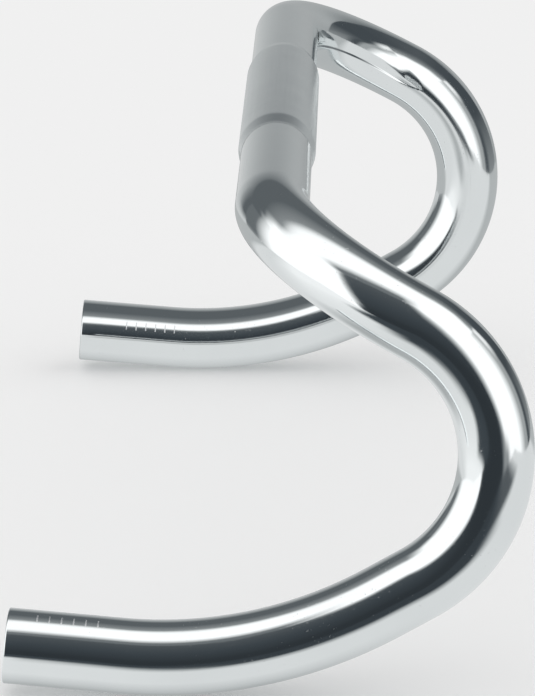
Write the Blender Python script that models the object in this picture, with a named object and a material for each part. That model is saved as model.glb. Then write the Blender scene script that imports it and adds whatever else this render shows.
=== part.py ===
"""Drop handlebar for a road bicycle: one bent aluminium tube with a sleeve round its centre.

Units are metres. +X is the rider's right, +Y is forward and +Z is up. The origin is the middle of
the stem clamp zone, on the axis of the tops. The right half is modelled and mirrored in X = 0.
"""

import math

import bmesh
import bpy
from mathutils import Matrix, Vector

# Overall size
WIDTH = 0.400  # between the centres of the two drop ends

# Tube
TUBE_DIAMETER = 0.0238
TUBE_WALL = 0.0016

# Bends of the right half, in the order they are made from the middle outwards
CORNER_RADIUS = 0.0530
CORNER_ANGLE = math.radians(88.5)
RAMP_SLOPE = math.radians(28.4)  # how far the ramp falls below level
HOOK_RADIUS = 0.0474
HOOK_ANGLE = math.radians(121.8)
HOOK_LEAN = math.radians(-1.9)  # the hook's plane turned about the ramp
GRIP_LENGTH = 0.0126  # straight between the hook and the drop
DROP_RADIUS = 0.1413
DROP_ANGLE = math.radians(34.6)
END_LENGTH = 0.0358  # straight at the drop's end

# Sleeve round the middle, which the stem clamps
SLEEVE_LENGTH = 0.144
SLEEVE_TAPER = 0.012  # at each end of the sleeve
SLEEVE_WALL = 0.0008
SLEEVE_LIP = 0.0002  # left at the end of each taper
FIT_GAP = 0.0003

# Cable groove pressed into the tube, round the inside of each corner bend
GROOVE_WIDTH = 0.0062
GROOVE_DEPTH = 0.0011
GROOVE_START = 0.0015  # from the sleeve's end
GROOVE_RUN = 0.0890  # from the start of the corner bend to the groove's end
GROOVE_TURN = math.radians(-17)  # the groove's middle on the tops, from the inside of the corner bend
GROOVE_END_TURN = math.radians(-1)  # the groove's middle at its end
GROOVE_RAMP = 0.0045  # length over which each end of the groove runs out

# Fineness of the meshes
BEND_STEP = math.radians(8)
STRAIGHT_STEP = 0.030
ROUND_SIDES = 19  # sides of the tube outside the groove
GROOVE_SIDES = 4
SLEEVE_SIDES = 28
CLOSE_RINGS = 0.0015  # an even ring this near one of the groove's is left out
MERGE_DISTANCE = 0.00005

TUBE_RADIUS = TUBE_DIAMETER / 2
GROOVE_HALF_ANGLE = math.asin(GROOVE_WIDTH / TUBE_DIAMETER)
DOWN = Vector((0, 0, -1))


class Station:
    """A place on the tube's centre line: its point, the way it runs, and where the corner's inside is."""

    def __init__(self, point, heading, inward):
        self.point = point
        self.heading = heading
        self.inward = inward


class Straight:
    """A straight stretch of the centre line."""

    def __init__(self, start, length):
        self.start = start
        self.length = length
        self.step = STRAIGHT_STEP

    def station(self, along):
        return Station(self.start.point + self.start.heading * along, self.start.heading, self.start.inward)


class Bend:
    """A stretch of the centre line bent to one radius about one axis."""

    def __init__(self, start, radius, angle, axis):
        self.start = start
        self.radius = radius
        self.axis = axis
        self.length = radius * angle
        self.step = radius * BEND_STEP

    def station(self, along):
        turn = Matrix.Rotation(along / self.radius, 3, self.axis)
        centre = self.start.point + self.axis.cross(self.start.heading) * self.radius
        point = centre + turn @ (self.start.point - centre)
        return Station(point, turn @ self.start.heading, turn @ self.start.inward)


def end_of(stretches):
    return stretches[-1].station(stretches[-1].length)


def hook_axis(heading):
    """The axis that turns the ramp's heading down, leaned about that heading."""
    level = heading.cross(DOWN).normalized()
    return Matrix.Rotation(HOOK_LEAN, 3, heading) @ level


def bends_from(start):
    """The stretches of the right half from the end of its straight top to its drop end."""
    corner = Bend(start, CORNER_RADIUS, CORNER_ANGLE, start.heading.cross(start.inward))
    axis = hook_axis(end_of([corner]).heading)
    hook = Bend(end_of([corner]), HOOK_RADIUS, HOOK_ANGLE, axis)
    grip = Straight(end_of([hook]), GRIP_LENGTH)
    drop = Bend(end_of([grip]), DROP_RADIUS, DROP_ANGLE, axis)
    return [corner, hook, grip, drop, Straight(end_of([drop]), END_LENGTH)]


def middle_station():
    inward = Vector((0, math.cos(RAMP_SLOPE), -math.sin(RAMP_SLOPE)))
    return Station(Vector((0, 0, 0)), Vector((1, 0, 0)), inward)


def top_length():
    """The straight top of one half: what the bends leave of half the width."""
    return WIDTH / 2 - end_of(bends_from(middle_station())).point.x


def centre_line():
    """The stretches of the right half from the middle to the drop end."""
    top = Straight(middle_station(), top_length())
    return [top] + bends_from(end_of([top]))


def groove_span():
    """Where along the right half the groove starts and ends."""
    return SLEEVE_LENGTH / 2 + GROOVE_START, top_length() + GROOVE_RUN


def groove_places():
    """Where the groove runs in and out, which needs rings of its own."""
    start, end = groove_span()
    parts = (0.0, 0.5, 1.0)
    return [start + GROOVE_RAMP * part for part in parts] + [end - GROOVE_RAMP * part for part in parts]


def stations_of(stretches):
    """Pairs of distance and station along the stretches: even steps, and more rings at the groove's ends."""
    extra = groove_places()
    pairs = []
    before = 0.0
    for stretch in stretches:
        after = before + stretch.length
        count = max(1, math.ceil(stretch.length / stretch.step))
        even = [before + stretch.length * number / count for number in range(count)]
        places = [place for place in even if min(abs(place - other) for other in extra) > CLOSE_RINGS]
        places += [place for place in extra if before <= place < after]
        pairs += [(place, stretch.station(place - before)) for place in sorted(places)]
        before = after
    pairs.append((before, end_of(stretches)))
    return pairs


def groove_share(distance):
    """How much of the groove's depth there is at this distance: 0 outside it and 1 along it."""
    start, end = groove_span()
    share = min(distance - start, end - distance) / GROOVE_RAMP
    share = min(max(share, 0.0), 1.0)
    return math.sin(share * math.pi / 2)


def groove_turn(distance):
    """The angle of the groove's middle round the section, which drifts to its end value in the corner."""
    way = (distance - top_length()) / GROOVE_RUN
    way = min(max(way, 0.0), 1.0)
    return GROOVE_TURN + (GROOVE_END_TURN - GROOVE_TURN) * way**3


def section_angles(middle):
    """Angles round the section, each with its share of the groove's depth, for a groove at this angle."""
    across = [-1 + 2 * side / GROOVE_SIDES for side in range(GROOVE_SIDES)]
    section = [(middle + GROOVE_HALF_ANGLE * place, 1 - place**2) for place in across]
    rest = 2 * math.pi - 2 * GROOVE_HALF_ANGLE
    first = middle + GROOVE_HALF_ANGLE
    section += [(first + rest * side / ROUND_SIDES, 0.0) for side in range(ROUND_SIDES)]
    return section


def add_ring(mesh, distance, station, radius):
    """One ring of the tube. The groove is pressed in, so the outer and the inner skin both follow it."""
    side = station.inward.cross(station.heading)
    share = groove_share(distance)
    ring = []
    for angle, depth in section_angles(groove_turn(distance)):
        reach = radius - GROOVE_DEPTH * depth * share
        offset = station.inward * math.cos(angle) + side * math.sin(angle)
        ring.append(mesh.verts.new(station.point + offset * reach))
    return ring


def join_rings(mesh, first, second):
    """A band of quads whose faces look out where the second ring lies ahead of the first."""
    count = len(first)
    for place in range(count):
        ahead = (place + 1) % count
        mesh.faces.new((first[place], second[place], second[ahead], first[ahead]))


def make_tube():
    mesh = bmesh.new()
    stations = stations_of(centre_line())
    outer = [add_ring(mesh, distance, station, TUBE_RADIUS) for distance, station in stations]
    inner = [add_ring(mesh, distance, station, TUBE_RADIUS - TUBE_WALL) for distance, station in stations]
    for place in range(len(stations) - 1):
        join_rings(mesh, outer[place], outer[place + 1])
        join_rings(mesh, inner[place + 1], inner[place])
    join_rings(mesh, outer[-1], inner[-1])
    tube = add_object("handlebar_tube", mesh)
    mirror = tube.modifiers.new("left_half", "MIRROR")
    mirror.use_axis = (True, False, False)
    mirror.use_mirror_merge = True
    mirror.merge_threshold = MERGE_DISTANCE
    return tube


def sleeve_profile():
    """The sleeve's section as (distance along X, radius), once round from its left end's bore."""
    bore = TUBE_RADIUS + FIT_GAP
    end = SLEEVE_LENGTH / 2
    shoulder = end - SLEEVE_TAPER
    body = bore + SLEEVE_WALL
    lip = bore + SLEEVE_LIP
    return [(-end, bore), (-end, lip), (-shoulder, body), (shoulder, body), (end, lip), (end, bore)]


def make_sleeve():
    mesh = bmesh.new()
    rings = []
    for along, radius in sleeve_profile():
        turns = [2 * math.pi * side / SLEEVE_SIDES for side in range(SLEEVE_SIDES)]
        points = [Vector((along, radius * math.cos(turn), radius * math.sin(turn))) for turn in turns]
        rings.append([mesh.verts.new(point) for point in points])
    for place, ring in enumerate(rings):
        join_rings(mesh, ring, rings[(place + 1) % len(rings)])
    return add_object("clamp_sleeve", mesh)


def add_object(name, mesh):
    bmesh.ops.recalc_face_normals(mesh, faces=mesh.faces)
    data = bpy.data.meshes.new(name)
    mesh.to_mesh(data)
    mesh.free()
    data.shade_smooth()
    data.set_sharp_from_angle(angle=math.radians(40))
    thing = bpy.data.objects.new(name, data)
    bpy.context.scene.collection.objects.link(thing)
    return thing


def metal(name, colour, roughness):
    material = bpy.data.materials.new(name)
    material.use_nodes = True
    shader = material.node_tree.nodes["Principled BSDF"]
    shader.inputs["Base Color"].default_value = (*colour, 1)
    shader.inputs["Metallic"].default_value = 1.0
    shader.inputs["Roughness"].default_value = roughness
    return material


def clear_scene():
    for thing in list(bpy.data.objects):
        bpy.data.objects.remove(thing, do_unlink=True)


def main():
    clear_scene()
    tube = make_tube()
    tube.data.materials.append(metal("polished_aluminium", (0.83, 0.84, 0.85), 0.12))
    sleeve = make_sleeve()
    sleeve.data.materials.append(metal("satin_aluminium", (0.72, 0.73, 0.74), 0.30))


main()
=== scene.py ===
"""Looks of a polished aluminium drop handlebar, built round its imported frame.

Units are metres. +X is the rider's right, +Y is forward, +Z is up, and the origin is the middle of
the stem clamp zone. The tube is made straight, has its cable groove pressed in, and is then bent.
"""

import logging
import math
from collections.abc import Sequence
from dataclasses import dataclass, field
from enum import Enum

import bpy
import numpy as np
from mathutils import Matrix, Vector


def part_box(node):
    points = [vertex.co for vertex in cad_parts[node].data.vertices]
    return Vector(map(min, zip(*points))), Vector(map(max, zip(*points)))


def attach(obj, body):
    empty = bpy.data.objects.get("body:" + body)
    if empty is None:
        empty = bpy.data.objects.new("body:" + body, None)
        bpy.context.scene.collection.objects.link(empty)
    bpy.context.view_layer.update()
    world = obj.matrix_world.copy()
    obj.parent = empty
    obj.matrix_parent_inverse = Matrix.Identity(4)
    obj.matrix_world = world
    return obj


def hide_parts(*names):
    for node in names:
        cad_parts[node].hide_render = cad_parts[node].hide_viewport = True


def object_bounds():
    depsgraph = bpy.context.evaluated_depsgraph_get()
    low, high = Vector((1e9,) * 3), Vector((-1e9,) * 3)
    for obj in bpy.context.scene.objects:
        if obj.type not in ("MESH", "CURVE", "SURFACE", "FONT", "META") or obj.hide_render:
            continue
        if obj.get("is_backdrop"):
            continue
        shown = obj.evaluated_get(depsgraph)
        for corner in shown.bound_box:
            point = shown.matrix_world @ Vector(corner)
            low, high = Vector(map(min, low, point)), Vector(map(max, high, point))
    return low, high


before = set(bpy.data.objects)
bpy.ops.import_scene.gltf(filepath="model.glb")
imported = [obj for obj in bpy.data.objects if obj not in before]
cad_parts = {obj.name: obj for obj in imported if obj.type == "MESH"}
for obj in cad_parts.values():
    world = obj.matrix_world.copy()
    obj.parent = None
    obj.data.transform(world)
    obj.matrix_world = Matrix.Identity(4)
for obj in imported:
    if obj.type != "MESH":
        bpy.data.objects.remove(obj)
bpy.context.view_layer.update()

ROOT = "root"
MM = 0.001
TUBE_RADIUS = 0.0119
MERGE_DISTANCE = 0.00005  # points this near the middle plane join when a half is mirrored
SAME_PLACE = 0.000001  # points this near along the tube are of one ring
SAME_RADIUS = 0.00001  # points this near the bore are on it
SHARPEST_EDGE = 50.0  # degrees, over which an edge isn't shaded smooth
WHITE_TONE = 1.15  # the brightest sheets, as light

# A Mix node has sockets of the same names for each kind of data, so the colours go by place
MIX_FIRST_COLOUR = 6
MIX_SECOND_COLOUR = 7
MIX_COLOUR_OUT = 2

log = logging.getLogger("handlebar")


# ---------------------------------------------------------------- shader maths


class Value:
    """A shader socket that Python expressions can be written on."""

    def __init__(self, sheet: "Sheet", socket: bpy.types.NodeSocket) -> None:
        """Wraps one output socket of a node.

        Args:
            sheet: the sheet that the node is on.
            socket: the output socket.
        """
        self.sheet = sheet
        self.socket = socket

    def _math(self, operation: str, *others: "Value | float") -> "Value":
        """One Math node on this value and the others, in that order.

        Args:
            operation: the node's operation.
            others: the further values.

        Returns:
            The result.
        """
        return self.sheet.maths(operation, self, *others)

    def __add__(self, other: "Value | float") -> "Value":
        """self + other."""
        return self._math("ADD", other)

    __radd__ = __add__

    def __mul__(self, other: "Value | float") -> "Value":
        """self * other."""
        return self._math("MULTIPLY", other)

    __rmul__ = __mul__

    def __sub__(self, other: "Value | float") -> "Value":
        """self - other."""
        return self._math("SUBTRACT", other)

    def __rsub__(self, other: "Value | float") -> "Value":
        """other - self."""
        return self.sheet.maths("SUBTRACT", other, self)

    def __truediv__(self, other: "Value | float") -> "Value":
        """self / other."""
        return self._math("DIVIDE", other)

    def above(self, edge: "Value | float") -> "Value":
        """Compares this value with an edge.

        Args:
            edge: the edge.

        Returns:
            1 where this value is over the edge, and 0 elsewhere.
        """
        return self._math("GREATER_THAN", edge)

    def below(self, edge: "Value | float") -> "Value":
        """Compares this value with an edge.

        Args:
            edge: the edge.

        Returns:
            1 where this value is under the edge, and 0 elsewhere.
        """
        return self._math("LESS_THAN", edge)

    def ramp(self, start: float, end: float) -> "Value":
        """Rescales this value. The start may be the larger of the two.

        Args:
            start: where the ramp is 0.
            end: where the ramp is 1.

        Returns:
            The ramp, held at 0 and 1 outside them.
        """
        scaled = (self - start) / (end - start)
        return scaled.clamped()

    def clamped(self) -> "Value":
        """Holds this value between 0 and 1.

        Returns:
            The held value.
        """
        return self.sheet.node("ShaderNodeClamp", {}, {"Value": self})


class Sheet:
    """The node tree of one material."""

    def __init__(self, name: str) -> None:
        """Makes a material with an output and nothing else.

        Args:
            name: the material's name.
        """
        self.material = bpy.data.materials.new(name)
        self.material.use_nodes = True
        self.nodes = self.material.node_tree.nodes
        self.links = self.material.node_tree.links
        self.nodes.clear()
        self.output = self.nodes.new("ShaderNodeOutputMaterial")

    def node(
        self,
        kind: str,
        settings: dict[str, object],
        inputs: dict[str | int, object],
        output: str | int = 0,
    ) -> Value:
        """Adds any node.

        Args:
            kind: the node's type.
            settings: the node's own settings, set first. A list under "stops" is a ramp's stops.
            inputs: a value, or a plain number or colour, for each socket by name or place.
            output: the output socket to hand back.

        Returns:
            The chosen output as a value.
        """
        made = self.nodes.new(kind)
        for key, setting in settings.items():
            if key == "stops":
                self._set_stops(made.color_ramp, setting)
            else:
                setattr(made, key, setting)
        for key, given in inputs.items():
            socket = made.inputs[key]
            if isinstance(given, Value):
                self.links.new(given.socket, socket)
            else:
                socket.default_value = given
        return Value(self, made.outputs[output])

    @staticmethod
    def _set_stops(ramp: bpy.types.ColorRamp, stops: Sequence[tuple[float, tuple]]) -> None:
        """Gives a colour ramp its stops.

        Args:
            ramp: the colour ramp.
            stops: pairs of place and colour.
        """
        while len(ramp.elements) < len(stops):
            ramp.elements.new(1.0)
        for element, (place, colour) in zip(ramp.elements, stops):
            element.position = place
            element.color = colour

    def maths(self, operation: str, *values: "Value | float") -> Value:
        """One Math node.

        Args:
            operation: the node's operation.
            values: up to three values or plain numbers, in order.

        Returns:
            The result.
        """
        return self.node("ShaderNodeMath", {"operation": operation}, dict(enumerate(values)))

    def mix(self, factor: Value, first: object, second: object) -> Value:
        """Blends two colours.

        Args:
            factor: 0 for the first colour and 1 for the second.
            first: a value or a plain colour.
            second: a value or a plain colour.

        Returns:
            The blended colour.
        """
        inputs = {"Factor": factor, MIX_FIRST_COLOUR: first, MIX_SECOND_COLOUR: second}
        return self.node("ShaderNodeMix", {"data_type": "RGBA"}, inputs, MIX_COLOUR_OUT)

    def attribute(self, name: str) -> Value:
        """Reads a vector that is stored at each point of the mesh.

        Args:
            name: the name it is stored under.

        Returns:
            The vector.
        """
        return self.node("ShaderNodeAttribute", {"attribute_name": name}, {}, "Vector")

    def stretched(self, vector: Value, scale: tuple[float, float, float]) -> Value:
        """Scales each axis of a vector.

        Args:
            vector: the vector.
            scale: what each axis is multiplied by.

        Returns:
            The scaled vector.
        """
        return self.node("ShaderNodeMapping", {}, {"Vector": vector, "Scale": scale})

    def noise(self, vector: Value, scale: float, detail: float = 2.0, rough: float = 0.5) -> Value:
        """Smooth noise from 0 to 1.

        Args:
            vector: the place.
            scale: waves per metre.
            detail: how many finer layers are added.
            rough: how much of each finer layer is added.

        Returns:
            The noise.
        """
        inputs = {"Vector": vector, "Scale": scale, "Detail": detail, "Roughness": rough}
        return self.node("ShaderNodeTexNoise", {}, inputs)

    def parts(self, vector: Value) -> tuple[Value, Value, Value]:
        """Splits a vector.

        Args:
            vector: the vector.

        Returns:
            Its three numbers as values.
        """
        split = self.node("ShaderNodeSeparateXYZ", {}, {0: vector})
        outputs = split.socket.node.outputs
        return Value(self, outputs[0]), Value(self, outputs[1]), Value(self, outputs[2])

    def finish(self, surface: Value) -> bpy.types.Material:
        """Ends the sheet in a shader.

        Args:
            surface: the shader.

        Returns:
            The material.
        """
        self.links.new(surface.socket, self.output.inputs["Surface"])
        return self.material


# ---------------------------------------------------------------- finishes


STRAIGHT_PLACE = "straight_place"  # each point's place in the straight tube, before bending


@dataclass(frozen=True)
class EtchedScale:
    """A short scale of plain tick marks etched on a drop, which helps to line up the levers."""

    start: float  # from the middle of the tube, along it
    turn: float  # radians round the tube, from straight up on the straight tube
    side: int  # 1 for the right drop and -1 for the left
    spacing: float = 0.0038
    count: int = 6
    tick_width: float = 0.00045
    tick_length: float = 0.0032

    def mask(self, sheet: Sheet, along: Value, around: Value, radius: float) -> Value:
        """1 on the ticks and 0 elsewhere.

        Args:
            sheet: the material's sheet.
            along: distance along the tube from its middle, positive to the right.
            around: the angle round the tube.
            radius: the tube's outer radius.

        Returns:
            The mask as a value.
        """
        reach = along * float(self.side)
        steps = (reach - self.start) / self.spacing
        phase = sheet.maths("FRACT", steps)
        width = self.tick_width / self.spacing
        ticks = phase.below(width)
        run = steps.above(0.0) * steps.below(float(self.count))
        half = self.tick_length / radius / 2
        band = around.above(self.turn - half) * around.below(self.turn + half)
        return ticks * run * band


@dataclass(frozen=True)
class PolishedAluminium:
    """Buffed bare aluminium: near mirror bright, with faint lengthwise buffing and a few specks."""

    scales: tuple[EtchedScale, ...]
    name: str = "polished_aluminium"
    colour: tuple[float, float, float] = (0.885, 0.915, 0.92)
    dull_colour: tuple[float, float, float] = (0.82, 0.85, 0.86)
    etched_colour: tuple[float, float, float] = (0.90, 0.91, 0.92)
    speck_colour: tuple[float, float, float] = (0.60, 0.62, 0.63)
    roughness: float = 0.085
    etched_roughness: float = 0.42
    buffing: float = 0.00002  # height of the lengthwise lines
    pitting: float = 0.00002  # depth of the specks
    relief: float = 0.35  # how strongly both show
    line_waves: tuple[float, float, float] = (12.0, 900.0, 900.0)  # per metre, along and across
    hair_waves: tuple[float, float, float] = (35.0, 4200.0, 4200.0)
    haze_waves: float = 45.0
    speck_waves: float = 1400.0
    speck_patch_waves: float = 60.0
    scuff_waves: float = 28.0
    radius: float = TUBE_RADIUS

    def make(self) -> bpy.types.Material:
        """Builds the material.

        Returns:
            The finished material.
        """
        sheet = Sheet(self.name)
        place = sheet.attribute(STRAIGHT_PLACE)
        lines = sheet.noise(sheet.stretched(place, self.line_waves), 1.0, 4.0, 0.6)
        haze = sheet.noise(place, self.haze_waves, 3.0, 0.5)
        specks = self.specks(sheet, place)
        hairs = self.hairs(sheet, place)
        etched = self.etched(sheet, place)
        tone = sheet.mix(haze.ramp(0.35, 0.75) * 0.35, (*self.colour, 1), (*self.dull_colour, 1))
        tone = sheet.mix(specks * 0.5, tone, (*self.speck_colour, 1))
        tone = sheet.mix(etched, tone, (*self.etched_colour, 1))
        rough = lines * 0.05 + haze * 0.03 + (self.roughness - 0.04)
        rough = rough + specks * 0.2 + hairs * 0.12 + etched * (self.etched_roughness - self.roughness)
        height = lines * self.buffing - specks * self.pitting
        inputs = {"Strength": self.relief, "Distance": 1.0, "Height": height}
        bump = sheet.node("ShaderNodeBump", {}, inputs)
        inputs = {"Base Color": tone, "Roughness": rough, "Metallic": 1.0, "Normal": bump}
        return sheet.finish(sheet.node("ShaderNodeBsdfPrincipled", {}, inputs))

    def specks(self, sheet: Sheet, place: Value) -> Value:
        """Small pits, gathered in loose patches.

        Args:
            sheet: the material's sheet.
            place: the place in the straight tube.

        Returns:
            1 on a speck and 0 elsewhere.
        """
        specks = sheet.noise(place, self.speck_waves, 1.0, 0.5).ramp(0.735, 0.76)
        patches = sheet.noise(place, self.speck_patch_waves, 1.0, 0.5).ramp(0.45, 0.6)
        return specks * patches

    def hairs(self, sheet: Sheet, place: Value) -> Value:
        """Hairline scratches along the tube, where it has been handled.

        Args:
            sheet: the material's sheet.
            place: the place in the straight tube.

        Returns:
            1 on a hairline and 0 elsewhere.
        """
        hairs = sheet.noise(sheet.stretched(place, self.hair_waves), 1.0, 1.0, 0.5)
        scuffed = sheet.noise(place, self.scuff_waves, 2.0, 0.6).ramp(0.50, 0.62)
        return hairs.ramp(0.66, 0.72) * scuffed

    def etched(self, sheet: Sheet, place: Value) -> Value:
        """The etched scales together.

        Args:
            sheet: the material's sheet.
            place: the place in the straight tube.

        Returns:
            1 on every etched mark of the tube, and 0 elsewhere.
        """
        along, forward, height = sheet.parts(place)
        around = sheet.maths("ARCTAN2", forward, height)
        found = [scale.mask(sheet, along, around, self.radius) for scale in self.scales]
        total = found[0]
        for mask in found[1:]:
            total = total + mask
        return total.clamped()


@dataclass(frozen=True)
class SatinAluminium:
    """The sleeve's finish: fine lines along it, a little duller than the tube."""

    name: str = "satin_aluminium"
    colour: tuple[float, float, float] = (0.87, 0.90, 0.905)
    worn_colour: tuple[float, float, float] = (0.81, 0.84, 0.85)
    roughness: float = 0.22
    line_height: float = 0.00003
    relief: float = 0.4
    line_waves: tuple[float, float, float] = (20.0, 1500.0, 1500.0)  # per metre, along and across
    haze_waves: float = 70.0

    def make(self) -> bpy.types.Material:
        """Builds the material.

        Returns:
            The finished material.
        """
        sheet = Sheet(self.name)
        place = sheet.node("ShaderNodeTexCoord", {}, {}, "Object")
        lines = sheet.noise(sheet.stretched(place, self.line_waves), 1.0, 4.0, 0.6)
        haze = sheet.noise(place, self.haze_waves, 3.0, 0.5)
        tone = sheet.mix(haze.ramp(0.3, 0.75) * 0.5, (*self.colour, 1), (*self.worn_colour, 1))
        rough = lines * 0.08 + haze * 0.04 + (self.roughness - 0.06)
        inputs = {"Strength": self.relief, "Distance": 1.0, "Height": lines * self.line_height}
        bump = sheet.node("ShaderNodeBump", {}, inputs)
        inputs = {"Base Color": tone, "Roughness": rough, "Metallic": 1.0, "Normal": bump}
        return sheet.finish(sheet.node("ShaderNodeBsdfPrincipled", {}, inputs))


@dataclass(frozen=True)
class DrawnAluminium:
    """The tube's bore as it was drawn: dull, with lines along it."""

    name: str = "drawn_aluminium"
    colour: tuple[float, float, float] = (0.62, 0.63, 0.64)
    dark_colour: tuple[float, float, float] = (0.42, 0.43, 0.44)
    roughness: float = 0.45
    metallic: float = 0.55  # its oxidised skin scatters some light, as a matt grey does
    line_height: float = 0.00008
    relief: float = 0.5
    line_waves: tuple[float, float, float] = (15.0, 700.0, 700.0)  # per metre, along and across

    def make(self) -> bpy.types.Material:
        """Builds the material.

        Returns:
            The finished material.
        """
        sheet = Sheet(self.name)
        place = sheet.attribute(STRAIGHT_PLACE)
        lines = sheet.noise(sheet.stretched(place, self.line_waves), 1.0, 3.0, 0.6)
        tone = sheet.mix(lines.ramp(0.35, 0.7), (*self.colour, 1), (*self.dark_colour, 1))
        rough = lines * 0.2 + (self.roughness - 0.1)
        inputs = {"Strength": self.relief, "Distance": 1.0, "Height": lines * self.line_height}
        bump = sheet.node("ShaderNodeBump", {}, inputs)
        inputs = {"Base Color": tone, "Roughness": rough, "Metallic": self.metallic, "Normal": bump}
        return sheet.finish(sheet.node("ShaderNodeBsdfPrincipled", {}, inputs))


# ---------------------------------------------------------------- modelling


class Lathe:
    """Makes a straight hollow piece round the X axis, ring by ring, as on a lathe."""

    def __init__(self, name: str, sides: int, start: float, radius: float) -> None:
        """Adds the first ring.

        Args:
            name: the piece's name.
            sides: how many points each ring has.
            start: the first ring's place along X.
            radius: the first ring's radius.
        """
        bpy.ops.object.select_all(action="DESELECT")
        bpy.ops.mesh.primitive_circle_add(
            vertices=sides, radius=radius, location=(start, 0, 0), rotation=(0, math.pi / 2, 0)
        )
        self.piece = bpy.context.object
        self.piece.name = name
        self.piece.data.name = name
        bpy.ops.object.transform_apply(location=True, rotation=True, scale=True)
        bpy.ops.object.mode_set(mode="EDIT")
        bpy.ops.mesh.select_mode(type="EDGE")
        bpy.ops.mesh.select_all(action="SELECT")
        self.along = start
        self.radius = radius

    def ring(self, along: float, radius: float) -> None:
        """Extrudes the last ring.

        Args:
            along: the new ring's place along X.
            radius: the new ring's radius.
        """
        shift = (along - self.along, 0, 0)
        bpy.ops.mesh.extrude_region_move(TRANSFORM_OT_translate={"value": shift})
        if radius != self.radius:
            scale = radius / self.radius
            bpy.ops.transform.resize(value=(1, scale, scale), center_override=(along, 0, 0))
        self.along = along
        self.radius = radius

    def done(self) -> bpy.types.Object:
        """Leaves edit mode.

        Returns:
            The piece.
        """
        bpy.ops.object.mode_set(mode="OBJECT")
        return self.piece


def mirror_half(piece: bpy.types.Object) -> None:
    """Adds the left half of a piece whose right half ends in the plane X = 0.

    Args:
        piece: the right half.
    """
    bpy.context.view_layer.objects.active = piece
    mirror = piece.modifiers.new("left_half", "MIRROR")
    mirror.use_mirror_merge = True
    mirror.merge_threshold = MERGE_DISTANCE
    bpy.ops.object.modifier_apply(modifier=mirror.name)


def face_outwards(piece: bpy.types.Object) -> None:
    """Turns every face of a closed piece to look out.

    Args:
        piece: the piece.
    """
    bpy.ops.object.select_all(action="DESELECT")
    piece.select_set(True)
    bpy.context.view_layer.objects.active = piece
    bpy.ops.object.mode_set(mode="EDIT")
    bpy.ops.mesh.select_all(action="SELECT")
    bpy.ops.mesh.normals_make_consistent(inside=False)
    bpy.ops.object.mode_set(mode="OBJECT")


def shade_round(piece: bpy.types.Object) -> None:
    """Shades a piece smooth but for its sharpest edges.

    Args:
        piece: the piece.
    """
    bpy.ops.object.select_all(action="DESELECT")
    piece.select_set(True)
    bpy.context.view_layer.objects.active = piece
    bpy.ops.object.shade_smooth_by_angle(angle=math.radians(SHARPEST_EDGE))


def evenly(start: float, end: float, step: float) -> list[float]:
    """Even places after the start, up to and with the end.

    Args:
        start: the start, which is left out.
        end: the last place.
        step: the most that two places are apart.

    Returns:
        The places in order.
    """
    count = max(1, math.ceil(abs(end - start) / step))
    return [start + (end - start) * number / count for number in range(1, count + 1)]


# ---------------------------------------------------------------- centre line


@dataclass(frozen=True)
class Station:
    """A place on the tube's centre line."""

    point: Vector
    heading: Vector
    inward: Vector  # across the tube, towards the inside of the corner bend

    @property
    def side(self) -> Vector:
        """Across the tube, a quarter turn from inward."""
        return self.inward.cross(self.heading)


@dataclass(frozen=True)
class Stretch:
    """A straight piece of the centre line, or a bend where it has a radius."""

    start: Station
    length: float
    radius: float = 0.0
    axis: Vector = field(default_factory=Vector)

    def station(self, along: float) -> Station:
        """Walks along the stretch.

        Args:
            along: the distance from the stretch's start.

        Returns:
            The station there.
        """
        start = self.start
        if not self.radius:
            return Station(start.point + start.heading * along, start.heading, start.inward)
        turn = Matrix.Rotation(along / self.radius, 3, self.axis)
        centre = start.point + self.axis.cross(start.heading) * self.radius
        point = centre + turn @ (start.point - centre)
        return Station(point, turn @ start.heading, turn @ start.inward)

    @property
    def end(self) -> Station:
        """The stretch's last station."""
        return self.station(self.length)


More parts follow.
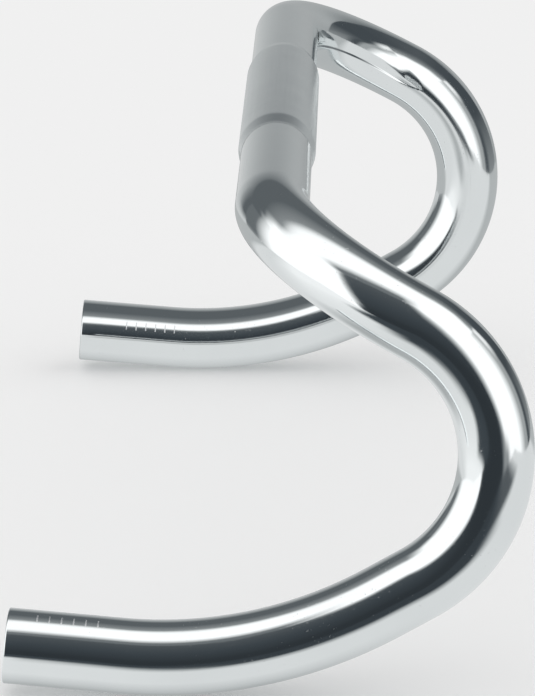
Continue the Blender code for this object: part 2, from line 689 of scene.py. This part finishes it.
@dataclass(frozen=True)
class BendTable:
    """The bends of the right half, from the middle outwards, as the bender is set."""

    width: float = 0.400  # between the centres of the drop ends
    corner_radius: float = 0.0530
    corner_angle: float = math.radians(88.5)
    ramp_slope: float = math.radians(28.4)
    hook_radius: float = 0.0474
    hook_angle: float = math.radians(121.8)
    hook_lean: float = math.radians(-1.9)
    grip_length: float = 0.0126
    drop_radius: float = 0.1413
    drop_angle: float = math.radians(34.6)
    end_length: float = 0.0358

    @property
    def middle(self) -> Station:
        """The middle of the tops, heading to the right."""
        inward = Vector((0, math.cos(self.ramp_slope), -math.sin(self.ramp_slope)))
        return Station(Vector((0, 0, 0)), Vector((1, 0, 0)), inward)

    def bends_from(self, start: Station) -> list[Stretch]:
        """The stretches from the end of the straight top to the drop end.

        Args:
            start: the station where the corner bend starts.

        Returns:
            The corner, the hook, the grip, the drop and its straight end.
        """
        axis = start.heading.cross(start.inward)
        corner = Stretch(start, self.corner_radius * self.corner_angle, self.corner_radius, axis)
        ramp = corner.end
        level = ramp.heading.cross(Vector((0, 0, -1))).normalized()
        axis = Matrix.Rotation(self.hook_lean, 3, ramp.heading) @ level
        hook = Stretch(ramp, self.hook_radius * self.hook_angle, self.hook_radius, axis)
        grip = Stretch(hook.end, self.grip_length)
        drop = Stretch(grip.end, self.drop_radius * self.drop_angle, self.drop_radius, axis)
        return [corner, hook, grip, drop, Stretch(drop.end, self.end_length)]

    @property
    def top_length(self) -> float:
        """The straight top of one half: what the bends leave of half the width."""
        return self.width / 2 - self.bends_from(self.middle)[-1].end.point.x

    @property
    def stretches(self) -> list[Stretch]:
        """The whole right half."""
        top = Stretch(self.middle, self.top_length)
        return [top, *self.bends_from(top.end)]

    @property
    def length(self) -> float:
        """The length of the right half along its centre line."""
        return sum(stretch.length for stretch in self.stretches)

    def station(self, along: float) -> Station:
        """Walks along the right half.

        Args:
            along: the distance from the middle.

        Returns:
            The station there.
        """
        stretches = self.stretches
        for stretch in stretches[:-1]:
            if along <= stretch.length:
                return stretch.station(along)
            along -= stretch.length
        return stretches[-1].station(along)


# ---------------------------------------------------------------- the bar


@dataclass(frozen=True)
class CableGroove:
    """The groove pressed round the inside of a corner bend for the brake cable."""

    start: float
    end: float
    corner: float  # where the corner bend starts
    width: float = 0.0070
    depth: float = 0.00048
    deepest: float = 0.8  # where across the half width, from the middle towards the lower edge
    run_in: float = 0.026
    run_out: float = 0.0140
    turn: float = math.radians(-17)
    end_turn: float = math.radians(-1)

    def angle(self, along: float) -> float:
        """The angle of the groove's middle round the section.

        Args:
            along: the distance along the tube from its middle.

        Returns:
            The angle from the corner's inside, in radians.
        """
        way = (along - self.corner) / (self.end - self.corner)
        return self.turn + (self.end_turn - self.turn) * min(max(way, 0.0), 1.0) ** 3

    def depth_at(self, along: np.ndarray, across: np.ndarray) -> np.ndarray:
        """How deep the groove is: a broad upper wall, a narrow lower one, and a rounded end.

        Args:
            along: distances along the tube from its middle.
            across: distances from the groove's middle, round the tube.

        Returns:
            The depth at each place, 0 outside the groove.
        """
        beyond = np.clip((along - (self.end - self.run_out)) / self.run_out, 0.0, 1.0)
        narrowing = np.sqrt(1 - beyond**2)
        place = across / (self.width / 2) / np.maximum(narrowing, 0.01)
        upper = np.clip((place + 1) / (1 + self.deepest), 0.0, 1.0)
        lower = np.clip((1 - place) / (1 - self.deepest), 0.0, 1.0)
        entry = np.clip((along - self.start) / self.run_in, 0.0, 1.0)
        entry = entry**2 * (3 - 2 * entry)
        return self.depth * np.minimum(upper, lower) * narrowing**2 * entry


@dataclass
class HandlebarTube:
    """The bent tube: made straight, grooved, bent, and mirrored."""

    table: BendTable
    sleeve_end: float
    radius: float = TUBE_RADIUS
    wall: float = 0.0016
    rim: float = 0.0005
    sides: int = 144
    straight_step: float = 0.006
    bend_step: float = math.radians(1.5)
    bore_step: float = 0.008
    groove_gap: float = 0.0015  # from the sleeve's end to the groove
    groove_run: float = 0.0890  # from the start of the corner bend to the groove's end
    fine_step: float = 0.0005  # between rings where the groove ends
    run_in_step: float = 0.002  # between rings where the groove starts
    crowding: float = 0.5  # how much closer together the points stand at the groove

    @property
    def groove(self) -> CableGroove:
        """The groove of the right half."""
        corner = self.table.top_length
        return CableGroove(self.sleeve_end + self.groove_gap, corner + self.groove_run, corner)

    def outer_places(self) -> list[float]:
        """Where the outer skin has rings: even along each stretch, and close at the groove's ends.

        Returns:
            The places along the tube, in order.
        """
        places = [self.sleeve_end]
        before = 0.0
        last = self.table.length - self.rim
        for stretch in self.table.stretches:
            after = before + stretch.length
            step = stretch.radius * self.bend_step or self.straight_step
            places += evenly(max(before, self.sleeve_end), min(after, last), min(step, self.straight_step))
            before = after
        groove = self.groove
        for start, end, step in (
            (groove.start, groove.start + groove.run_in, self.run_in_step),
            (groove.end - groove.run_out, groove.end, self.fine_step),
        ):
            places = [place for place in places if not start - step < place < end + step]
            places += [start, *evenly(start, end, step)]
        return sorted(places)

    def straight_tube(self) -> bpy.types.Object:
        """Makes the straight right half: outer skin, rounded rim and bore.

        Returns:
            The straight half.
        """
        length = self.table.length
        lathe = Lathe("bent_tube", self.sides, 0.0, self.radius)
        for place in self.outer_places():
            lathe.ring(place, self.radius)
        bore = self.radius - self.wall
        for angle in evenly(0.0, math.pi / 2, math.pi / 8):
            drop = self.rim * (1 - math.cos(angle))
            lathe.ring(length - self.rim * (1 - math.sin(angle)), self.radius - drop)
        chamfer = self.rim / 2
        lathe.ring(length, bore + chamfer)
        lathe.ring(length - chamfer, bore)
        for place in evenly(length - chamfer, self.sleeve_end, self.bore_step):
            lathe.ring(place, bore)
        lathe.ring(0.0, bore)
        return lathe.done()

    def press_and_bend(self, tube: bpy.types.Object) -> None:
        """Presses the groove into the straight half, notes where each point was, and bends it.

        Args:
            tube: the straight half.
        """
        mesh = tube.data
        points = np.empty(len(mesh.vertices) * 3)
        mesh.vertices.foreach_get("co", points)
        points = points.reshape(-1, 3)
        note = mesh.attributes.new(STRAIGHT_PLACE, "FLOAT_VECTOR", "POINT")
        groove = self.groove
        middle = self.table.middle
        inward = np.array(middle.inward)
        side = np.array(middle.side)
        angle = np.arctan2(points @ side, points @ inward)
        angle = angle - self.crowding * np.sin(angle)
        reach = np.hypot(points[:, 1], points[:, 2])
        across = angle * self.radius
        reach = reach - groove.depth_at(points[:, 0], across)
        bent = np.empty_like(points)
        straight = np.empty_like(points)
        for place in np.unique(np.round(points[:, 0], 6)):
            ring = np.abs(points[:, 0] - place) < SAME_PLACE
            station = self.table.station(float(place))
            turned = angle[ring] + groove.angle(float(place))
            inner, outer = np.cos(turned) * reach[ring], np.sin(turned) * reach[ring]
            bent[ring] = (
                np.array(station.point)
                + np.outer(inner, np.array(station.inward))
                + np.outer(outer, np.array(station.side))
            )
            straight[ring] = np.outer(inner, inward) + np.outer(outer, side)
            straight[ring, 0] = place
        mesh.vertices.foreach_set("co", bent.ravel())
        note.data.foreach_set("vector", straight.ravel())
        mesh.update()

    @staticmethod
    def turn_left_places(tube: bpy.types.Object) -> None:
        """Makes the noted places of the mirrored left half run to the left.

        Args:
            tube: the whole tube.
        """
        notes = tube.data.attributes[STRAIGHT_PLACE].data
        for vertex in tube.data.vertices:
            if vertex.co.x < 0:
                notes[vertex.index].vector.x *= -1

    def paint_bore(self, tube: bpy.types.Object) -> None:
        """Gives the second material to the faces of the bore.

        Args:
            tube: the tube, with both materials.
        """
        note = tube.data.attributes[STRAIGHT_PLACE].data
        limit = self.radius - self.wall + SAME_RADIUS
        for face in tube.data.polygons:
            places = [note[corner].vector for corner in face.vertices]
            if all(math.hypot(place.y, place.z) < limit for place in places):
                face.material_index = 1

    def build(self, outside: bpy.types.Material, bore: bpy.types.Material) -> bpy.types.Object:
        """Makes the finished tube.

        Args:
            outside: the material of its outer skin.
            bore: the material of its bore.

        Returns:
            The tube.
        """
        tube = self.straight_tube()
        self.press_and_bend(tube)
        tube.data.materials.append(outside)
        tube.data.materials.append(bore)
        self.paint_bore(tube)
        mirror_half(tube)
        self.turn_left_places(tube)
        face_outwards(tube)
        shade_round(tube)
        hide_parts("handlebar_tube")
        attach(tube, ROOT)
        return tube


def eased_cone(share: float, rounding: float) -> float:
    """How far down a cone with rounded ends is, from 0 to 1.

    Args:
        share: the place along the cone, from 0 to 1.
        rounding: the share of its length that each rounded end takes.

    Returns:
        The drop at that place, as a share of the whole drop.
    """
    curve = 2 * rounding * (1 - rounding)
    if share < rounding:
        return share**2 / curve
    if share > 1 - rounding:
        return 1 - (1 - share) ** 2 / curve
    return (share - rounding / 2) / (1 - rounding)


@dataclass
class ClampSleeve:
    """The thin sleeve round the middle, which the stem clamps."""

    half_length: float
    radius: float
    tube_radius: float
    taper: float = 0.012
    lip: float = 0.00003  # the wall left at the end of the taper
    gap: float = 0.00001  # between the tube and the sleeve
    rounding: float = 0.22  # the share of the taper's length that each of its rounded ends takes
    sides: int = 144
    taper_rings: int = 24

    def profile(self) -> list[tuple[float, float]]:
        """The outer skin from the shoulder to the end, with a soft S of a taper.

        Returns:
            Pairs of place and radius.
        """
        low = self.tube_radius + self.gap + self.lip
        shoulder = self.half_length - self.taper
        rings = [(shoulder, self.radius)]
        for share in evenly(0.0, 1.0, 1 / self.taper_rings):
            ease = eased_cone(share, self.rounding)
            rings.append((shoulder + self.taper * share, self.radius + (low - self.radius) * ease))
        return rings

    def build(self, finish: bpy.types.Material) -> bpy.types.Object:
        """Makes the finished sleeve.

        Args:
            finish: its material.

        Returns:
            The sleeve.
        """
        bore = self.tube_radius + self.gap
        lathe = Lathe("middle_sleeve", self.sides, 0.0, self.radius)
        for place, radius in self.profile():
            lathe.ring(place, radius)
        lathe.ring(self.half_length, bore)
        lathe.ring(0.0, bore)
        sleeve = lathe.done()
        sleeve.data.materials.append(finish)
        mirror_half(sleeve)
        face_outwards(sleeve)
        shade_round(sleeve)
        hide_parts("clamp_sleeve")
        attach(sleeve, ROOT)
        return sleeve


# ---------------------------------------------------------------- studio


class Seen(Enum):
    """What sees a stage object."""

    CAMERA = "the camera and soft light"
    REFLECTIONS = "only reflections"


def show_to(thing: bpy.types.Object, seen: Seen) -> None:
    """Limits what sees a stage object, which casts no shadow if only reflections see it.

    Args:
        thing: the stage object.
        seen: what sees it.
    """
    direct = seen is Seen.CAMERA
    thing.visible_camera = direct
    thing.visible_diffuse = direct
    thing.visible_shadow = direct
    thing.visible_transmission = direct
    thing.visible_volume_scatter = direct
    thing.visible_glossy = not direct


@dataclass(frozen=True)
class Edge:
    """A soft straight edge on a wall: 0 before its place along one axis, and 1 beyond it."""

    axis: int
    place: float
    soft: float
    below: bool = False  # 1 on the lower side instead

    def mask(self, sheet: Sheet, place: tuple[Value, Value, Value]) -> Value:
        """The edge as a value.

        Args:
            sheet: the wall's sheet.
            place: the point's three coordinates.

        Returns:
            0 on one side of the edge and 1 on the other.
        """
        half = self.soft / 2
        low, high = self.place - half, self.place + half
        along = place[self.axis]
        return along.ramp(high, low) if self.below else along.ramp(low, high)


@dataclass(frozen=True)
class Patch:
    """Part of a wall with another tone, bounded by soft edges."""

    tone: float
    edges: tuple[Edge, ...]


@dataclass(frozen=True)
class Wall:
    """One flat side of the tent round the bar, which only reflections see."""

    name: str
    low: tuple[float, float, float]
    high: tuple[float, float, float]
    tone: float
    patches: tuple[Patch, ...]

    def finish(self) -> bpy.types.Material:
        """The wall's glow. The studio's darker tones are a little cooler.

        Returns:
            The material.
        """
        sheet = Sheet(self.name)
        place = sheet.parts(sheet.node("ShaderNodeTexCoord", {}, {}, "Object"))
        tone: Value | float = self.tone
        for patch in self.patches:
            mask = patch.edges[0].mask(sheet, place)
            for edge in patch.edges[1:]:
                mask = mask * edge.mask(sheet, place)
            tone = mask * (patch.tone - tone) + tone
        stops = [
            (0.0, (0.0, 0.0, 0.0, 1.0)),
            (0.05, (0.042, 0.051, 0.059, 1.0)),
            (0.14, (0.130, 0.142, 0.149, 1.0)),
            (0.45, (0.440, 0.453, 0.455, 1.0)),
            (1.0, (1.0, 1.0, 1.0, 1.0)),
        ]
        colour = sheet.node("ShaderNodeValToRGB", {"stops": stops}, {"Fac": tone / WHITE_TONE})
        inputs = {
            "Base Color": (0.0, 0.0, 0.0, 1.0),
            "Specular IOR Level": 0.0,
            "Emission Color": colour,
            "Emission Strength": WHITE_TONE,
        }
        return sheet.finish(sheet.node("ShaderNodeBsdfPrincipled", {}, inputs))

    def build(self) -> bpy.types.Object:
        """Places the wall, with its place in its mesh.

        Returns:
            The wall.
        """
        low, high = Vector(self.low), Vector(self.high)
        bpy.ops.object.select_all(action="DESELECT")
        bpy.ops.mesh.primitive_cube_add(size=1.0, location=(low + high) / 2)
        wall = bpy.context.object
        wall.name = self.name
        wall.scale = high - low
        bpy.ops.object.transform_apply(location=True, rotation=True, scale=True)
        wall.data.materials.append(self.finish())
        show_to(wall, Seen.REFLECTIONS)
        wall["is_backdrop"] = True
        return wall


def matt(name: str, tone: float) -> bpy.types.Material:
    """A plain matt grey.

    Args:
        name: the material's name.
        tone: how light it is.

    Returns:
        The material.
    """
    sheet = Sheet(name)
    inputs = {"Color": (tone, tone, tone, 1.0)}
    return sheet.finish(sheet.node("ShaderNodeBsdfDiffuse", {}, inputs))


@dataclass
class Tent:
    """White sheets on the camera's half, grey ones beyond, and a gap that the camera looks through."""

    top: float = 0.48
    table: float = -0.186
    front: float = 0.745
    rear: float = -0.99
    near: float = 0.65
    far: float = -0.86
    thick: float = 0.01

    def walls(self) -> list[Wall]:
        """The six sides, each with its patches in the order they are laid.

        Returns:
            The walls.
        """
        x0, x1, y0, y1, z0, z1 = self.far, self.near, self.rear, self.front, self.table, self.top
        t = self.thick
        # Soft edges that several sides share
        gap = (Edge(1, -0.325, 0.11), Edge(1, 0.27, 0.12, below=True))
        foot = Edge(2, -0.09, 0.08, below=True)
        low_edge = Edge(2, -0.135, 0.05, below=True)
        # Painted shadow: the edges of a darker patch on the table sheet under the right drop, standing in
        # for the shade the bar casts there
        painted_contact_shadow = (Edge(1, -0.12, 0.08), Edge(1, 0.04, 0.08, below=True))
        overhead = (
            Patch(0.57, (Edge(0, 0.16, 0.80),)),
            Patch(WHITE_TONE, (Edge(0, 0.12, 0.13),)),
            Patch(WHITE_TONE, (Edge(0, 0.08, 0.13), Edge(1, -0.34, 0.20), Edge(1, 0.60, 0.10, below=True))),
            Patch(WHITE_TONE, (Edge(0, -0.13, 0.22), Edge(1, -0.59, 0.26, below=True))),
            Patch(WHITE_TONE, (Edge(0, -0.24, 0.30), Edge(1, -0.80, 0.24, below=True))),
            Patch(0.075, (Edge(0, -0.12, 0.20, below=True), Edge(1, 0.40, 0.40))),
            Patch(0.17, (Edge(0, 0.48, 0.14), *gap)),
        )
        opening = (
            Patch(0.036, gap),
            Patch(0.10, (*gap, Edge(2, 0.20, 0.66))),
            Patch(0.036, (Edge(1, -0.345, 0.06), Edge(1, 0.28, 0.14, below=True), foot)),
            Patch(0.30, (Edge(1, 0.24, 0.10), Edge(1, 0.42, 0.12, below=True), low_edge)),
        )
        front = (
            Patch(0.070, (Edge(2, -0.02, 0.34),)),
            Patch(0.080, (Edge(0, -0.22, 0.16), Edge(2, 0.10, 0.10, below=True))),
            Patch(0.38, (Edge(0, -0.03, 0.10),)),
            Patch(0.95, (Edge(0, -0.08, 0.12), Edge(0, 0.10, 0.10, below=True), Edge(2, 0.30, 0.12))),
            Patch(WHITE_TONE, (Edge(0, 0.245, 0.25),)),
        )
        rear = (
            Patch(0.155, (Edge(2, -0.237, 0.30),)),
            Patch(WHITE_TONE, (Edge(0, -0.25, 0.35),)),
        )
        far_side = (
            Patch(0.118, (Edge(2, 0.185, 0.72),)),
            Patch(0.38, (Edge(1, 0.0, 0.19), Edge(2, 0.1, 0.3, below=True))),
            Patch(0.12, (Edge(1, -0.62, 0.34, below=True), Edge(2, -0.05, 0.16))),
        )
        table = (
            Patch(0.75, (Edge(0, -0.215, 0.08),)),
            Patch(0.98, (Edge(0, 0.054, 0.20), Edge(1, -0.233, 0.42, below=True))),
            # Painted shadow: the table sheet is darker under the right drop, as the bar's own shade on the
            # floor is seen in its reflection
            Patch(0.45, (Edge(0, 0.07, 0.10), Edge(0, 0.20, 0.06, below=True), *painted_contact_shadow)),
            Patch(0.10, (Edge(0, 0.415, 0.07), Edge(1, 0.08, 0.12), Edge(1, 0.44, 0.20, below=True))),
            Patch(0.06, (Edge(0, 0.415, 0.07), Edge(1, -0.28, 0.10), Edge(1, 0.12, 0.12, below=True))),
            Patch(0.05, (Edge(0, 0.345, 0.07), Edge(1, -0.07, 0.10), Edge(1, 0.17, 0.10, below=True))),
        )
        return [
            Wall("overhead_sheet", (x0, y0, z1), (x1, y1, z1 + t), 0.12, overhead),
            Wall("camera_side_sheet", (x1, y0, z0), (x1 + t, y1, z1), WHITE_TONE, opening),
            Wall("front_sheet", (x0, y1, z0), (x1, y1 + t, z1), 0.26, front),
            Wall("rear_sheet", (x0, y0 - t, z0), (x1, y0, z1), 0.69, rear),
            Wall("far_side_sheet", (x0 - t, y0, z0), (x0, y1, z1), 0.63, far_side),
            Wall("table_sheet", (x0, y0, z0 - t), (x1, y1, z0), 0.485, table),
        ]

    def build(self) -> None:
        """Places every side."""
        for wall in self.walls():
            wall.build()


@dataclass
class Studio:
    """A pale floor in even soft light, and the tent that the metal reflects."""

    floor_height: float
    floor_size: float = 16.0
    floor_tone: float = 0.97
    daylight: float = 0.90

    def floor(self) -> None:
        """The level floor that the bar stands on."""
        bpy.ops.object.select_all(action="DESELECT")
        bpy.ops.mesh.primitive_plane_add(size=self.floor_size, location=(0, 0, self.floor_height))
        floor = bpy.context.object
        floor.name = "pale_floor"
        floor.data.materials.append(matt("pale_floor", self.floor_tone))
        show_to(floor, Seen.CAMERA)
        floor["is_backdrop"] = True

    def soft_light(self) -> None:
        """Even soft light from all round, which reflections don't see."""
        world = bpy.data.worlds.new("soft_light")
        world.use_nodes = True
        ground = world.node_tree.nodes["Background"]
        ground.inputs["Color"].default_value = (1.0, 1.0, 1.0, 1.0)
        ground.inputs["Strength"].default_value = self.daylight
        bpy.context.scene.world = world
        world.cycles_visibility.glossy = False

    def build(self) -> None:
        """Sets up the floor, the tent and the light."""
        self.floor()
        Tent().build()
        self.soft_light()


@dataclass(frozen=True)
class Viewpoint:
    """Where the camera stands, as it looks at a target."""

    azimuth: float = 91.13
    elevation: float = 14.54
    distance: float = 1.5613
    target: tuple[float, float, float] = (0.0515, -0.0034, -0.0708)
    lens: float = 236.97

    def build(self) -> bpy.types.Object:
        """Makes the scene's camera.

        Returns:
            The camera.
        """
        turn, rise = math.radians(self.azimuth), math.radians(self.elevation)
        back = Vector((math.sin(turn) * math.cos(rise), -math.cos(turn) * math.cos(rise), math.sin(rise)))
        data = bpy.data.cameras.new("camera")
        data.lens = self.lens
        data.sensor_width = 36.0
        data.clip_start = 0.05
        data.clip_end = 100.0
        camera = bpy.data.objects.new("camera", data)
        bpy.context.scene.collection.objects.link(camera)
        camera.location = Vector(self.target) + back * self.distance
        camera.rotation_mode = "QUATERNION"
        camera.rotation_quaternion = (-back).to_track_quat("-Z", "Y")
        bpy.context.scene.camera = camera
        return camera


# ---------------------------------------------------------------- main


def report(piece: bpy.types.Object) -> None:
    """Logs a finished piece's name and size in millimetres.

    Args:
        piece: the piece.
    """
    size = ", ".join(f"{side / MM:.1f}" for side in piece.dimensions)
    log.info("%s: %s mm, %d faces", piece.name, size, len(piece.data.polygons))


def main() -> None:
    """Builds the bar and the studio round it."""
    logging.basicConfig(level=logging.INFO, format="%(message)s")
    low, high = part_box("clamp_sleeve")
    table = BendTable()
    tube = HandlebarTube(table, sleeve_end=high.x)
    right_scale = EtchedScale(start=0.4335, turn=math.radians(-128), side=1)
    left_scale = EtchedScale(start=0.4250, turn=math.radians(150), side=-1)
    polished = PolishedAluminium(scales=(right_scale, left_scale), radius=tube.radius).make()
    report(tube.build(polished, DrawnAluminium().make()))
    sleeve = ClampSleeve(high.x, high.z, tube.radius)
    report(sleeve.build(SatinAluminium().make()))
    Viewpoint().build()
    Studio(floor_height=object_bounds()[0].z).build()
    bpy.context.scene.view_settings.view_transform = "Standard"


if __name__ == "__main__":
    main()
